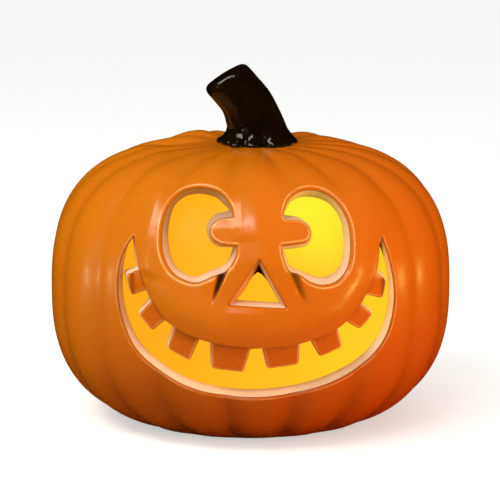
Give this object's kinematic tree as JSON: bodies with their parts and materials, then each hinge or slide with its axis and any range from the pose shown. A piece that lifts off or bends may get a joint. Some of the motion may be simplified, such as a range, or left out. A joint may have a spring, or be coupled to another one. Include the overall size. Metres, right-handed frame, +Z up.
{
  "type": "carved pumpkin lantern",
  "caption": "Hollow moulded pumpkin lantern with a grinning face cut through its ribbed wall, glowing films behind the holes and a leaning glossy stem.",
  "frame": {"origin": "middle of the flat base", "axes": "+Z up, -Y out of the carved face, +X to the right as the face is looked at"},
  "size_m": [0.2592, 0.2641, 0.2325],
  "materials": {
    "shell": "satin orange skin on moulded foam, with pale cut walls in the holes",
    "stem": "glossy very dark brown with soft lengthwise ridges",
    "film": "thin translucent yellow sheet lit from behind"
  },
  "bodies": {
    "root": {"pumpkin_shell": "shell", "stem": "stem", "left_eye_film": "film", "right_eye_film": "film", "nose_film": "film", "mouth_film": "film"}
  },
  "joints": []
}
